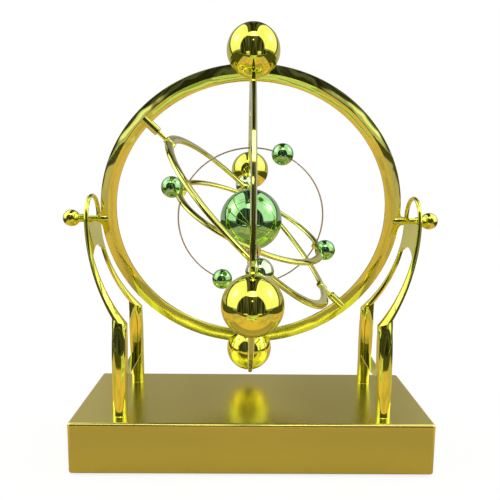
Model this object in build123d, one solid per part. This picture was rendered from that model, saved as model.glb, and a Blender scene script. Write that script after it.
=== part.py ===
from build123d import *
import os

# A swinging celestial ornament: a box base with a drive coil inside, two stands, a cage of two
# crossed rings with four balls, a middle ring inside the cage and a rotor inside the middle ring.
# Millimetres, +X right, +Y to the back, +Z up. The origin is the middle of the underside.

# Base
base_depth = 68.0
base_wall = 2.0
base_corner_radius = 1.8
base_edge_radius = 1.5
base_low_radius = 1.0
foot_height = 1.0
foot_radius = 4.5
foot_recess = 0.4
foot_inset = 8.5
foot_chamfer = 0.3
cover_thickness = 1.8
cover_gap = 0.3

# Cage of two crossed rings, on a level axis along X
cage_radius = 74.0
cage_ring_width = 8.0
cage_ridge = 2.8
cage_rim = 1.6
swing_angle = 19.0
ball_radius = 12.2
ball_seat = 9.5
magnet_ball_radius = 13.0
magnet_ball_seat = 8.5
joint_well_depth = 1.0
magnet_radius = 5.0
magnet_length = 6.0
magnet_depth = 1.0
magnet_chamfer = 0.3
swing_clearance = 1.5
side_play = 1.2
play_gap = 0.3

# Pivot of the cage
pivot_pin_radius = 1.5
collar_radius = 4.4
collar_length = 2.6
collar_lip = 0.4
boss_radius = 2.1
boss_taper = 1.5
pin_grip = 3.0
knob_radius = 4.4
knob_reach = 8.6
knob_neck_radius = 2.1

# Middle ring, on an axis that runs from upper left to lower right across the cage
middle_axis_angle = 135.0
middle_rest_angle = 4.0
middle_ring_width = 5.0
middle_ridge = 2.8
middle_rim = 1.4
middle_pin_radius = 1.0
middle_pin_reach = 4.7
pin_end_gap = 0.3
pin_chamfer = 0.2
socket_radius = 2.2
socket_length = 5.5
socket_chamfer = 0.4
end_ball_radius = 6.0
end_ball_seat = 5.5
end_ball_clearance = 1.5
hub_radius = 2.4
hub_length = 5.6
hub_flat = 3.6

# Rotor, on an axis square to the middle ring's own
rotor_rest_angle = 21.0
rotor_clearance = 4.8
centre_ball_radius = 16.1
axle_radius = 1.0
axle_end_depth = 1.5
axle_end_gap = 0.4
planet_radius = 5.5
planet_seat = 3.7
orbit_ring_width = 4.0
orbit_ridge = 2.4
orbit_rim = 1.2
orbit_hub_radius = 2.2
orbit_hub_length = 4.8
wire_radius = 0.4
wire_seat = 0.6
clip_width = 2.6
clip_depth = 1.4
clip_round = 0.4

# Stands
head_thickness = 2.2
web_thickness = 1.6
hoop_radius = 12.4
hoop_bar = 2.0
hoop_rise = 0.5
window_floor = 0.4
web_drop = 14.0
web_arch = 5.0
rail_round = 0.8
leg_inset = 17.6
leg_size = 7.0
leg_corner = 2.6
elbow_drop = 50.0
elbow_slope = 1.5
elbow_half_width = 22.8
foot_half_width = 26.2
flare_size = 8.0
flare_height = 2.4
strap_rise = 16.8
strap_thickness = 0.8
strap_width = 5.4
strap_sag = 1.2

# Inside the base
coil_radius = 11.0
coil_height = 14.0
coil_flange = 1.2
coil_tube_radius = 4.2
winding_margin = 0.8
winding_round = 0.5
core_radius = 3.0
core_head_radius = 5.0
core_head = 1.2
coil_socket_wall = 1.5
coil_socket_depth = 2.5
board_size = (34.0, 44.0)
board_thickness = 1.6
board_offset = -45.0
board_drop = 10.0
board_post_radius = 3.0
board_post_pitch = 34.0
board_corner_radius = 1.0
capacitor_radius = 3.15
capacitor_height = 7.0
capacitor_place = (-8.0, 6.0)
transistor_radius = 2.4
transistor_height = 4.6
transistor_flat = 1.2
transistor_place = (7.0, -5.0)
resistor_radius = 1.1
resistor_length = 6.2
resistor_place = (8.0, 8.0)
cell_radius = 7.1
cell_length = 49.2
cell_edge_radius = 0.5
cell_nub = 1.2
cell_nub_radius = 2.7
cell_gap = 0.5
cell_count = 4
cell_floor_gap = 2.7
tray_wall = 1.2
tray_margin = 1.8
tray_rib = 2.0
tray_rib_pitch = 20.0
tray_headroom = 0.4
tray_side_drop = 4.3
contact_size = 9.0
contact_thickness = 0.4
spring_length = 3.2
spring_tip_radius = 2.2
spring_foot_radius = 3.4
door_gap = 0.2
door_end_room = 1.5
door_tab = 2.0
door_tab_root = 3.0
door_tab_thickness = 1.2
door_tab_width = 6.0
door_catch_width = 12.0
door_grip_width = 16.0
door_grip_inset = 7.0
door_grip_pitch = 2.5
door_grip_groove = 1.2
door_grip_depth = 0.5

# Screws and fits
leg_screw_radius = 1.5
leg_screw_depth = 9.0
leg_screw_head_radius = 2.8
leg_screw_head = 1.7
leg_screw_room = 2.0
cover_screw_radius = 1.4
cover_screw_length = 11.0
cover_screw_head_radius = 2.7
cover_screw_head = 1.3
cover_boss_radius = 3.6
cover_boss_inset = (9.0, 19.0)
board_screw_radius = 1.0
board_screw_head_radius = 1.9
board_screw_head = 1.2
board_screw_length = 6.0
screw_end_gap = 0.6
screw_slot_width = 0.7
screw_slot_depth = 0.6
screw_head_round = 0.6
running_gap = 0.05
fixed_gap = 0.05
seat_gap = 0.1

# The base is as high and as wide as the row of cells and the coil inside it need
base_floor = foot_height
cover_top = base_floor + cover_thickness
cell_height = cover_top + cell_floor_gap + cell_radius
tray_ceiling = cell_height + cell_radius + tray_headroom
ceiling = tray_ceiling + tray_wall + leg_screw_room + leg_screw_head
base_height = ceiling + base_wall
cell_pitch = 2 * cell_radius + cell_gap
tray_half_width = cell_count * cell_pitch / 2 + tray_wall
socket_bore = coil_radius + seat_gap
tray_offset = socket_bore + coil_socket_wall + tray_margin + tray_half_width
boss_x = tray_offset + tray_half_width + tray_margin + cover_boss_radius
base_width = 2 * (boss_x + cover_boss_inset[0])
boss_y = base_depth / 2 - cover_boss_inset[1]
inner_width = base_width - 2 * base_wall
inner_depth = base_depth - 2 * base_wall
board_top = ceiling - board_drop

# The rings nest inside one another, and the bottom ball clears the base
cage_edge = cage_radius + cage_ring_width / 2
cage_mouth = cage_radius - cage_ring_width / 2
ball_offset = cage_radius + ball_seat
magnet_ball_offset = cage_radius + magnet_ball_seat
pivot_height = base_height + swing_clearance + magnet_ball_radius + magnet_ball_offset
pin_root = cage_edge - pin_grip
socket_mouth = cage_mouth - socket_length
end_ball_offset = cage_mouth - end_ball_clearance - end_ball_radius
middle_radius = end_ball_offset - end_ball_seat
axle_reach = end_ball_offset - axle_end_depth
planet_offset = middle_radius - middle_ring_width / 2 - rotor_clearance - planet_radius
orbit_radius = planet_offset - planet_seat
wire_orbit_radius = orbit_radius - orbit_ring_width / 2 - wire_seat

# The stands reach up from the base to the pivots
stand_offset = cage_edge + collar_length + 2 * side_play + head_thickness / 2
head_outer = stand_offset + head_thickness / 2
knob_offset = head_outer + knob_reach
leg_offset = stand_offset - leg_inset
elbow_height = pivot_height - elbow_drop
strap_height = base_height + strap_rise
elbow_leg_y = elbow_half_width - leg_size / 2
foot_leg_y = foot_half_width - leg_size / 2

# The cage hangs at the left end of its side play
cage_frame = Pos(-side_play, 0, pivot_height) * Rot(swing_angle, 0, 0)
middle_frame = cage_frame * Rot(0, -middle_axis_angle, 0) * Rot(middle_rest_angle, 0, 0)
rotor_frame = middle_frame * Rot(0, -rotor_rest_angle, 0)
ABOUT_X = Rot(0, 90, 0)
ABOUT_Y = Rot(90, 0, 0)


def bar(radius, length, start=0.0):
    """A round bar along +Z from a start height."""
    return Pos(0, 0, start + length / 2) * Cylinder(radius, length)


def block(x0, x1, y0, y1, z0, z1):
    """A rectangular block between two corners."""
    centre = Pos((x0 + x1) / 2, (y0 + y1) / 2, (z0 + z1) / 2)
    return centre * Box(abs(x1 - x0), abs(y1 - y0), abs(z1 - z0))


def turned(points):
    """A solid turned about Z from (radius, height) corners."""
    outline = make_face(Polyline(*[(r, 0, z) for r, z in points], close=True))
    return revolve(outline, Axis.Z)


def lens_ring(radius, width, ridge, rim, grow=0.0):
    """A ring about Z whose sides are two shallow facets that meet in a ridge."""
    half = width / 2 + grow
    return turned([
        (radius - half, -rim / 2 - grow), (radius, -ridge / 2 - grow), (radius + half, -rim / 2 - grow),
        (radius + half, rim / 2 + grow), (radius, ridge / 2 + grow), (radius - half, rim / 2 + grow),
    ])


def cage_ring(grow=0.0):
    return lens_ring(cage_radius, cage_ring_width, cage_ridge, cage_rim, grow)


def middle_ring_body(grow=0.0):
    return lens_ring(middle_radius, middle_ring_width, middle_ridge, middle_rim, grow)


def orbit_ring_body(grow=0.0):
    return lens_ring(orbit_radius, orbit_ring_width, orbit_ridge, orbit_rim, grow)


def wire_ring(grow=0.0):
    return ABOUT_Y * Torus(wire_orbit_radius, wire_radius + grow)


def base_shell():
    """Box casing, open below, with its bosses, the coil socket and the board posts."""
    shell = block(-base_width / 2, base_width / 2, -base_depth / 2, base_depth / 2, base_floor, base_height)
    shell = fillet(shell.edges().filter_by(Axis.Z), base_corner_radius)
    shell = fillet(shell.faces().sort_by(Axis.Z)[-1].edges(), base_edge_radius)
    shell = fillet(shell.faces().sort_by(Axis.Z)[0].edges(), base_low_radius)
    shell -= block(-inner_width / 2, inner_width / 2, -inner_depth / 2, inner_depth / 2, base_floor - 1, ceiling)
    for x in (-boss_x, boss_x):
        for y in (-boss_y, boss_y):
            boss = bar(cover_boss_radius, ceiling - cover_top, cover_top)
            boss -= bar(cover_screw_radius + fixed_gap, cover_screw_length, cover_top)
            shell += Pos(x, y, 0) * boss
    socket = bar(socket_bore + coil_socket_wall, coil_socket_depth, ceiling - coil_socket_depth)
    shell += socket - bar(socket_bore, coil_socket_depth, ceiling - coil_socket_depth)
    for y in (-board_post_pitch / 2, board_post_pitch / 2):
        post = bar(board_post_radius, ceiling - board_top, board_top)
        post -= bar(board_screw_radius + fixed_gap, board_screw_length, board_top)
        shell += Pos(board_offset, y, 0) * post
    for x in (-leg_offset, leg_offset):
        for y in (-foot_leg_y, foot_leg_y):
            shell -= Pos(x, y, 0) * bar(leg_screw_radius + fixed_gap, base_wall + 2, ceiling - 1)
    return shell


def door_opening():
    half_x = tray_half_width - 2 * tray_wall
    half_y = cell_length / 2 + door_end_room
    return tray_offset - half_x, tray_offset + half_x, -half_y, half_y


def base_cover():
    half_x = inner_width / 2 - cover_gap
    half_y = inner_depth / 2 - cover_gap
    cover = block(-half_x, half_x, -half_y, half_y, base_floor, cover_top)
    x0, x1, y0, y1 = door_opening()
    cover -= block(x0, x1, y0, y1, base_floor - 1, cover_top + 1)
    head = cover_screw_head_radius + fixed_gap
    shank = cover_screw_radius + fixed_gap
    sink = turned([(0, -1), (head, -1), (head, 0), (shank, cover_screw_head), (shank, cover_thickness + 1),
                   (0, cover_thickness + 1)])
    for x in (-boss_x, boss_x):
        for y in (-boss_y, boss_y):
            cover -= Pos(x, y, base_floor) * sink
    for x, y in foot_places():
        cover -= Pos(x, y, 0) * bar(foot_radius + seat_gap, 1 + foot_recess, base_floor - 1)
    return cover


def foot_places():
    x = base_width / 2 - foot_inset
    y = base_depth / 2 - foot_inset
    return [(-x, -y), (x, -y), (-x, y), (x, y)]


def rubber_feet():
    foot = bar(foot_radius, foot_height + foot_recess)
    foot = chamfer(foot.edges().group_by(Axis.Z)[0], foot_chamfer)
    return Compound(children=[Pos(x, y, 0) * foot for x, y in foot_places()])


def battery_door():
    """A flat door with two tabs at the back, a catch at the front and three grip grooves."""
    x0, x1, y0, y1 = door_opening()
    top = cover_top + door_tab_thickness
    door = block(x0 + door_gap, x1 - door_gap, y0 + door_gap, y1 - door_gap, base_floor, cover_top)
    half = door_tab_width / 2
    for x in (tray_offset - (x1 - x0) / 4, tray_offset + (x1 - x0) / 4):
        door += block(x - half, x + half, y1 - door_tab_root, y1 + door_tab, cover_top, top)
    half = door_catch_width / 2
    door += block(tray_offset - half, tray_offset + half, y0 - door_tab, y0 + door_tab_root, cover_top, top)
    half = door_grip_width / 2
    for step in range(3):
        y = y0 + door_grip_inset + door_grip_pitch * step
        door -= block(tray_offset - half, tray_offset + half, y, y + door_grip_groove,
                      base_floor - 1, base_floor + door_grip_depth)
    return door


def cover_screws():
    screw = turned([(0, 0), (cover_screw_head_radius, 0), (cover_screw_radius, cover_screw_head),
                    (cover_screw_radius, cover_screw_length), (0, cover_screw_length)])
    half = screw_slot_width / 2
    screw -= block(-cover_screw_head_radius, cover_screw_head_radius, -half, half, -1, screw_slot_depth)
    places = [(x, y) for x in (-boss_x, boss_x) for y in (-boss_y, boss_y)]
    return Compound(children=[Pos(x, y, base_floor) * screw for x, y in places])


def leg_screws():
    top = base_height + leg_screw_depth - screw_end_gap
    screw = bar(leg_screw_radius, top - ceiling, ceiling)
    head = bar(leg_screw_head_radius, leg_screw_head, ceiling - leg_screw_head)
    screw += fillet(head.edges().group_by(Axis.Z)[0], screw_head_round)
    places = [(x, y) for x in (-leg_offset, leg_offset) for y in (-foot_leg_y, foot_leg_y)]
    return Compound(children=[Pos(x, y, 0) * screw for x, y in places])


def coil_bobbin():
    flange = bar(coil_radius, coil_flange)
    bobbin = Pos(0, 0, ceiling - coil_height) * flange
    bobbin += Pos(0, 0, ceiling - coil_flange) * flange
    bobbin += bar(coil_tube_radius, coil_height, ceiling - coil_height)
    return bobbin - bar(core_radius + fixed_gap, coil_height, ceiling - coil_height)


def coil_winding():
    height = coil_height - 2 * coil_flange - 2 * seat_gap
    start = ceiling - coil_height + coil_flange + seat_gap
    outer = bar(coil_radius - winding_margin, height, start)
    outer = fillet(outer.edges(), winding_round)
    return outer - bar(coil_tube_radius + seat_gap, height, start)


def coil_core():
    start = ceiling - coil_height
    core = bar(core_radius, coil_height - seat_gap, start)
    return core + bar(core_head_radius, core_head, start - core_head)


def circuit_board():
    width, depth = board_size
    bottom = board_top - board_thickness
    board = block(board_offset - width / 2, board_offset + width / 2, -depth / 2, depth / 2, bottom, board_top)
    board = fillet(board.edges().filter_by(Axis.Z), board_corner_radius)
    for y in (-board_post_pitch / 2, board_post_pitch / 2):
        board -= Pos(board_offset, y, 0) * bar(board_screw_radius + seat_gap, 4, bottom - 1)
    return board


def board_parts():
    """A capacitor, a transistor with a flat front and a resistor, under the board."""
    bottom = board_top - board_thickness
    capacitor = bar(capacitor_radius, capacitor_height, bottom - capacitor_height)
    transistor = bar(transistor_radius, transistor_height, bottom - transistor_height)
    transistor -= block(-transistor_radius, transistor_radius, transistor_flat, transistor_radius + 1,
                        bottom - transistor_height - 1, bottom + 1)
    resistor = Pos(0, 0, bottom - resistor_radius) * ABOUT_Y * Cylinder(resistor_radius, resistor_length)
    placed = []
    for piece, place in ((capacitor, capacitor_place), (transistor, transistor_place),
                         (resistor, resistor_place)):
        placed.append(Pos(board_offset + place[0], place[1], 0) * piece)
    return Compound(children=placed)


def board_screws():
    bottom = board_top - board_thickness
    length = board_thickness + board_screw_length - screw_end_gap
    screw = bar(board_screw_radius, length, bottom)
    screw += bar(board_screw_head_radius, board_screw_head, bottom - board_screw_head)
    places = (-board_post_pitch / 2, board_post_pitch / 2)
    return Compound(children=[Pos(board_offset, y, 0) * screw for y in places])


def cell_places():
    first = tray_offset - cell_pitch * (cell_count - 1) / 2
    return [first + cell_pitch * i for i in range(cell_count)]


def tray_half_length():
    return cell_length / 2 + (cell_nub + spring_length) / 2 + contact_thickness + seat_gap


def battery_tray():
    """Open-bottomed tray with a rib between each pair of cells, hung from two ribs."""
    x0 = tray_offset - tray_half_width
    x1 = tray_offset + tray_half_width
    half_y = tray_half_length() + tray_wall
    low = cell_height - tray_side_drop
    tray = block(x0, x1, -half_y, half_y, low, tray_ceiling + tray_wall)
    tray -= block(x0 + tray_wall, x1 - tray_wall, -half_y + tray_wall, half_y - tray_wall, low - 1, tray_ceiling)
    for y in (-tray_rib_pitch / 2, tray_rib_pitch / 2):
        tray += block(x0, x1, y - tray_rib / 2, y + tray_rib / 2, tray_ceiling + tray_wall, ceiling)
    return tray


def battery_cells():
    body = ABOUT_Y * Cylinder(cell_radius, cell_length)
    body = fillet(body.edges(), cell_edge_radius)
    nub = Pos(0, cell_length / 2 + cell_nub / 2, 0) * ABOUT_Y * Cylinder(cell_nub_radius, cell_nub)
    cell = Pos(0, (spring_length - cell_nub) / 2, 0) * (body + nub)
    cells = []
    for i, x in enumerate(cell_places()):
        turn = 180 * (i % 2)
        cells.append(Pos(x, 0, cell_height) * Rot(0, 0, turn) * cell)
    return Compound(children=cells)


def battery_contacts():
    """One flat plate at each end of each cell, and a coned spring at its flat end."""
    end = tray_half_length()
    half = contact_size / 2
    plate = block(-half, half, end - contact_thickness, end, -half, half)
    other = block(-half, half, -end, -end + contact_thickness, -half, half)
    spring = ABOUT_Y * Cone(spring_tip_radius, spring_foot_radius, spring_length - seat_gap)
    spring = Pos(0, -end + contact_thickness + (spring_length - seat_gap) / 2, 0) * spring
    pieces = []
    for i, x in enumerate(cell_places()):
        turn = 180 * (i % 2)
        for piece in (plate, other + spring):
            pieces.append(Pos(x, 0, cell_height) * Rot(0, 0, turn) * piece)
    return Compound(children=pieces)


def front_outline(inner_shift, outer_shift, top):
    """The arms and head seen from the front: two arcs that curve round the cage."""
    inner_elbow = (leg_offset - leg_size / 2, elbow_height - elbow_slope)
    outer_elbow = (leg_offset + leg_size / 2, elbow_height + elbow_slope)
    inner_head = (stand_offset + inner_shift, pivot_height)
    outer_head = (stand_offset + outer_shift, pivot_height)
    return Curve() + [
        TangentArc(inner_head, inner_elbow, tangent=(0, -1)),
        TangentArc(outer_head, outer_elbow, tangent=(0, -1)),
        Polyline(inner_head, (inner_head[0], top), (outer_head[0], top), outer_head),
        Line(inner_elbow, outer_elbow),
    ]


def front_band(inner_shift, outer_shift):
    top = pivot_height + hoop_rise + hoop_radius + 1
    outline = make_face(front_outline(inner_shift, outer_shift, top))
    return extrude(Plane.XZ * outline, base_depth, both=True)


def side_shape(elbow, head):
    """The A frame seen from the side, solid from the elbows up to the round top of its hoop."""
    low = elbow_height - elbow_slope
    spring_line = pivot_height + hoop_rise
    half = Curve() + [
        Line((0, low), (elbow, low)),
        TangentArc((head, pivot_height), (elbow, low), tangent=(0, -1)),
        Line((head, pivot_height), (head, spring_line)),
        TangentArc((head, spring_line), (0, spring_line + head), tangent=(0, 1)),
        Line((0, spring_line + head), (0, low)),
    ]
    face = Plane.YZ * make_face(half)
    return extrude(face + mirror(face, Plane.XZ), stand_offset + knob_offset)


def stand_rails():
    """The hoop and the two arms as one bar with rounded edges."""
    frame = side_shape(elbow_half_width, hoop_radius)
    frame -= side_shape(elbow_half_width - leg_size, hoop_radius - hoop_bar)
    rails = front_band(-head_thickness / 2, head_thickness / 2) & frame
    long_edges = [e for e in rails.edges() if e.length > 3 * leg_size]
    return fillet(long_edges, rail_round)


def stand_web():
    """The plate between the arms, level with their inner faces, with a notch for the pivot pin."""
    low = pivot_height - web_drop - web_arch
    high = pivot_height + window_floor
    area = Curve() + [
        Polyline((-elbow_half_width, low), (-elbow_half_width, high), (elbow_half_width, high),
                 (elbow_half_width, low)),
        ThreePointArc((elbow_half_width, low), (0, low + web_arch), (-elbow_half_width, low)),
    ]
    web = extrude(Plane.YZ * make_face(area), stand_offset + knob_offset)
    web &= front_band(-head_thickness / 2, web_thickness - head_thickness / 2)
    return web & side_shape(elbow_half_width - leg_size / 2, hoop_radius - hoop_bar / 2)


def stand_leg(side):
    """A leg from its flared foot to the slanted elbow."""
    top = elbow_height + elbow_slope
    lean = (foot_leg_y - elbow_leg_y) / (elbow_height - base_height)
    foot_y = side * foot_leg_y
    top_y = side * (elbow_leg_y - lean * elbow_slope)
    section = RectangleRounded(leg_size, leg_size, leg_corner)
    leg = loft([Pos(leg_offset, foot_y, base_height) * section, Pos(leg_offset, top_y, top) * section])
    inner_x = leg_offset - leg_size / 2
    outer_x = leg_offset + leg_size / 2
    slope = make_face(Polyline((inner_x - 1, base_height), (inner_x, elbow_height - elbow_slope),
                               (outer_x, top), (outer_x + 1, base_height), close=True))
    leg &= extrude(Plane.XZ * slope, base_depth, both=True)
    flare = loft([Pos(leg_offset, foot_y, base_height) * RectangleRounded(flare_size, flare_size, leg_corner),
                  Pos(leg_offset, foot_y, base_height + flare_height) * section])
    return leg + flare


def stand_strap():
    """The thin strap that sags between the front and the rear leg."""
    share = (strap_height - base_height) / (elbow_height - base_height)
    reach = foot_leg_y + (elbow_leg_y - foot_leg_y) * share - leg_size / 4
    half = strap_thickness / 2
    lines = []
    for shift in (-half, half):
        z = strap_height + shift
        lines.append(ThreePointArc((-reach, z), (0, z - strap_sag), (reach, z)))
    for y in (-reach, reach):
        lines.append(Line((y, strap_height - half), (y, strap_height + half)))
    strap = extrude(Plane.YZ * make_face(Curve() + lines), strap_width / 2, both=True)
    return Pos(leg_offset, 0, 0) * strap


def right_stand():
    """One moulding: hoop head, web plate, two arms, two legs and the strap between the legs."""
    stand = stand_rails() + stand_web() + stand_strap()
    notch = ABOUT_X * Cylinder(pivot_pin_radius + running_gap, 2 * hoop_radius)
    stand -= Pos(stand_offset, 0, pivot_height) * notch
    for side in (-1, 1):
        stand += stand_leg(side)
        hole = bar(leg_screw_radius + fixed_gap, leg_screw_depth, base_height)
        stand -= Pos(leg_offset, side * foot_leg_y, 0) * hole
    return stand


def outer_ring():
    """The ring that hangs on the pivots, with a collar at each pivot and the two middle sockets."""
    ring = ABOUT_Y * cage_ring()
    tip = cage_edge + collar_length
    neck = pivot_pin_radius + collar_lip
    profile = Curve() + [
        Polyline((0, 0, tip), (0, 0, cage_radius), (collar_radius, 0, cage_radius), (collar_radius, 0, cage_edge)),
        TangentArc((neck, 0, tip), (collar_radius, 0, cage_edge), tangent=(0, 0, -1)),
        Line((neck, 0, tip), (0, 0, tip)),
    ]
    collar = revolve(make_face(profile), Axis.Z) & Box(3 * cage_radius, cage_rim, 3 * cage_radius)
    collar += turned([(0, cage_radius), (boss_radius - boss_taper / 2, cage_radius),
                      (boss_radius, cage_radius + boss_taper), (boss_radius, cage_edge),
                      (neck, tip), (0, tip)])
    bore = bar(pivot_pin_radius + fixed_gap, tip - pin_root + 1, pin_root)
    for turn in (90, -90):
        ring += Rot(0, turn, 0) * collar
    for turn in (90, -90):
        ring -= Rot(0, turn, 0) * bore
    socket = bar(socket_radius, cage_radius - socket_mouth, socket_mouth)
    socket = chamfer(socket.edges().group_by(Axis.Z)[0], socket_chamfer)
    well = bar(middle_pin_radius + running_gap, middle_pin_reach + pin_end_gap + 1, socket_mouth - 1)
    for turn in (-middle_axis_angle, 180 - middle_axis_angle):
        ring += Rot(0, turn, 0) * ABOUT_X * socket
    for turn in (-middle_axis_angle, 180 - middle_axis_angle):
        ring -= Rot(0, turn, 0) * ABOUT_X * well
    return cage_frame * ring


def half_ring(side):
    """Half of the cross ring, from the top joint to the bottom joint, on one side of the outer ring."""
    reach = cage_radius + cage_ring_width
    near = side * (cage_ridge / 2 + fixed_gap)
    half = ABOUT_X * cage_ring()
    return cage_frame * (half & block(-cage_ridge, cage_ridge, near, side * reach, -reach, reach))


def cage_ball(radius, offset):
    """A ball clamped on the cross ring, which runs through a channel in its inner side."""
    ball = Pos(0, 0, offset) * Rot(0, -90, 0) * Sphere(radius)
    return ball - ABOUT_X * cage_ring(fixed_gap)


def joint_ball(radius, offset, well_radius, well_end):
    """A ball over a joint of the two cage rings, with both channels and a round well between them."""
    well = bar(well_radius, well_end - cage_radius + cage_ring_width, cage_radius - cage_ring_width)
    return cage_ball(radius, offset) - well - ABOUT_Y * cage_ring(fixed_gap)


def magnet_place():
    return magnet_ball_offset + magnet_depth


def top_ball():
    well_end = cage_edge + joint_well_depth
    return cage_frame * joint_ball(ball_radius, ball_offset, cage_ridge, well_end)


def bottom_ball():
    well_end = magnet_place() + magnet_length + seat_gap
    ball = joint_ball(magnet_ball_radius, magnet_ball_offset, magnet_radius + seat_gap, well_end)
    return cage_frame * Rot(180, 0, 0) * ball


def magnet():
    piece = bar(magnet_radius, magnet_length, -magnet_place() - magnet_length)
    return cage_frame * chamfer(piece.edges(), magnet_chamfer)


def pivot_pin(turn):
    pin = bar(pivot_pin_radius, knob_offset - pin_root - 2 * seat_gap, pin_root + seat_gap)
    return cage_frame * Rot(0, turn, 0) * chamfer(pin.edges(), pin_chamfer)


def knob(turn):
    """A ball with a short neck, pushed on the end of a pivot pin outside the stand."""
    neck_start = head_outer + side_play + play_gap
    piece = Pos(0, 0, knob_offset) * Sphere(knob_radius)
    piece += bar(knob_neck_radius, knob_offset - neck_start, neck_start)
    piece -= bar(pivot_pin_radius + fixed_gap, knob_offset - neck_start + 1, neck_start - 1)
    return cage_frame * Rot(0, turn, 0) * piece


def middle_ring():
    """The ring that turns in the cage, with a flat hub at each pin and a bearing for the rotor axle."""
    ring = middle_ring_body()
    start = middle_radius - hub_length / 2
    hub = bar(hub_radius, hub_length, start)
    slab = Box(3 * middle_radius, 3 * middle_radius, hub_flat)
    for turn in (90, -90):
        ring += (Rot(0, turn, 0) * hub) & slab
        ring += Rot(turn, 0, 0) * hub
    for turn in (90, -90):
        ring -= Rot(0, turn, 0) * bar(middle_pin_radius + fixed_gap, hub_length + 2, start - 1)
        ring -= Rot(turn, 0, 0) * bar(axle_radius + running_gap, hub_length + 2, start - 1)
    return middle_frame * ring


def middle_pin(turn):
    start = middle_radius - middle_ring_width / 2 + seat_gap
    pin = bar(middle_pin_radius, socket_mouth + middle_pin_reach - start, start)
    return middle_frame * Rot(0, turn, 0) * chamfer(pin.edges(), pin_chamfer)


def end_ball(turn):
    """A ball clamped on the middle ring over the end of the rotor axle."""
    ball = Pos(0, 0, end_ball_offset) * Sphere(end_ball_radius)
    start = middle_radius - hub_length / 2
    ball -= bar(hub_radius + fixed_gap, hub_length + fixed_gap, start)
    ball -= bar(axle_radius + running_gap, axle_reach + axle_end_gap - start, start)
    ball = Rot(turn, 0, 0) * ball
    return middle_frame * (ball - middle_ring_body(fixed_gap))


def rotor_axle():
    axle = ABOUT_Y * Cylinder(axle_radius, 2 * axle_reach)
    return rotor_frame * chamfer(axle.edges(), pin_chamfer)


def centre_ball():
    ball = Sphere(centre_ball_radius)
    return rotor_frame * (ball - ABOUT_Y * Cylinder(axle_radius + fixed_gap, 3 * centre_ball_radius))


def orbit_ring():
    """The flat ring of the rotor, with a hub where the axle passes through each side."""
    ring = orbit_ring_body()
    start = orbit_radius - orbit_hub_length / 2
    for turn in (90, -90):
        ring += Rot(turn, 0, 0) * bar(orbit_hub_radius, orbit_hub_length, start)
    return rotor_frame * (ring - ABOUT_Y * Cylinder(axle_radius + fixed_gap, 3 * orbit_radius))


def orbit_wire():
    return rotor_frame * wire_ring()


def orbit_clips():
    """Two small saddles that hold the wire against the inner edge of the orbit ring."""
    edge = orbit_radius - orbit_ring_width / 2 - fixed_gap
    groove = wire_radius + fixed_gap
    half = clip_width / 2
    clip = block(wire_orbit_radius - clip_depth, edge, -half, half, -half, half)
    clip = fillet(clip.faces().sort_by(Axis.X)[0].edges(), clip_round)
    clip -= block(wire_orbit_radius - groove, edge + 1, -groove, groove, -clip_width, clip_width)
    return rotor_frame * Compound(children=[clip, Rot(0, 180, 0) * clip])


def planet_ball(x, z):
    """A small ball clamped on the orbit ring, or threaded on the wire."""
    ball = Pos(x, 0, z) * Sphere(planet_radius)
    return rotor_frame * (ball - orbit_ring_body(fixed_gap) - wire_ring(fixed_gap))


def main():
    os.makedirs("parts", exist_ok=True)
    stand = right_stand()
    nodes = {
        "base_shell": base_shell(),
        "base_cover": base_cover(),
        "battery_door": battery_door(),
        "rubber_feet": rubber_feet(),
        "cover_screws": cover_screws(),
        "leg_screws": leg_screws(),
        "coil_bobbin": coil_bobbin(),
        "coil_winding": coil_winding(),
        "coil_core": coil_core(),
        "circuit_board": circuit_board(),
        "board_parts": board_parts(),
        "board_screws": board_screws(),
        "battery_tray": battery_tray(),
        "battery_cells": battery_cells(),
        "battery_contacts": battery_contacts(),
        "left_stand": mirror(stand, Plane.YZ),
        "right_stand": stand,
        "outer_ring": outer_ring(),
        "cross_ring_front": half_ring(-1),
        "cross_ring_back": half_ring(1),
        "top_ball": top_ball(),
        "front_ball": cage_frame * Rot(90, 0, 0) * cage_ball(ball_radius, ball_offset),
        "back_ball": cage_frame * Rot(-90, 0, 0) * cage_ball(ball_radius, ball_offset),
        "bottom_ball": bottom_ball(),
        "swing_magnet": magnet(),
        "left_pivot_pin": pivot_pin(-90),
        "right_pivot_pin": pivot_pin(90),
        "left_knob": knob(-90),
        "right_knob": knob(90),
        "middle_ring": middle_ring(),
        "upper_middle_pin": middle_pin(90),
        "lower_middle_pin": middle_pin(-90),
        "front_end_ball": end_ball(90),
        "back_end_ball": end_ball(-90),
        "rotor_axle": rotor_axle(),
        "centre_ball": centre_ball(),
        "orbit_ring": orbit_ring(),
        "orbit_wire": orbit_wire(),
        "orbit_clips": orbit_clips(),
        "planet_ball_left": planet_ball(planet_offset, 0),
        "planet_ball_right": planet_ball(-planet_offset, 0),
        "planet_ball_upper": planet_ball(0, -wire_orbit_radius),
        "planet_ball_lower": planet_ball(0, wire_orbit_radius),
    }
    for name, shape in nodes.items():
        export_step(shape, f"parts/{name}.step")


main()
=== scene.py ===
import math

import bmesh
import bpy
from mathutils import Matrix, Vector


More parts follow.
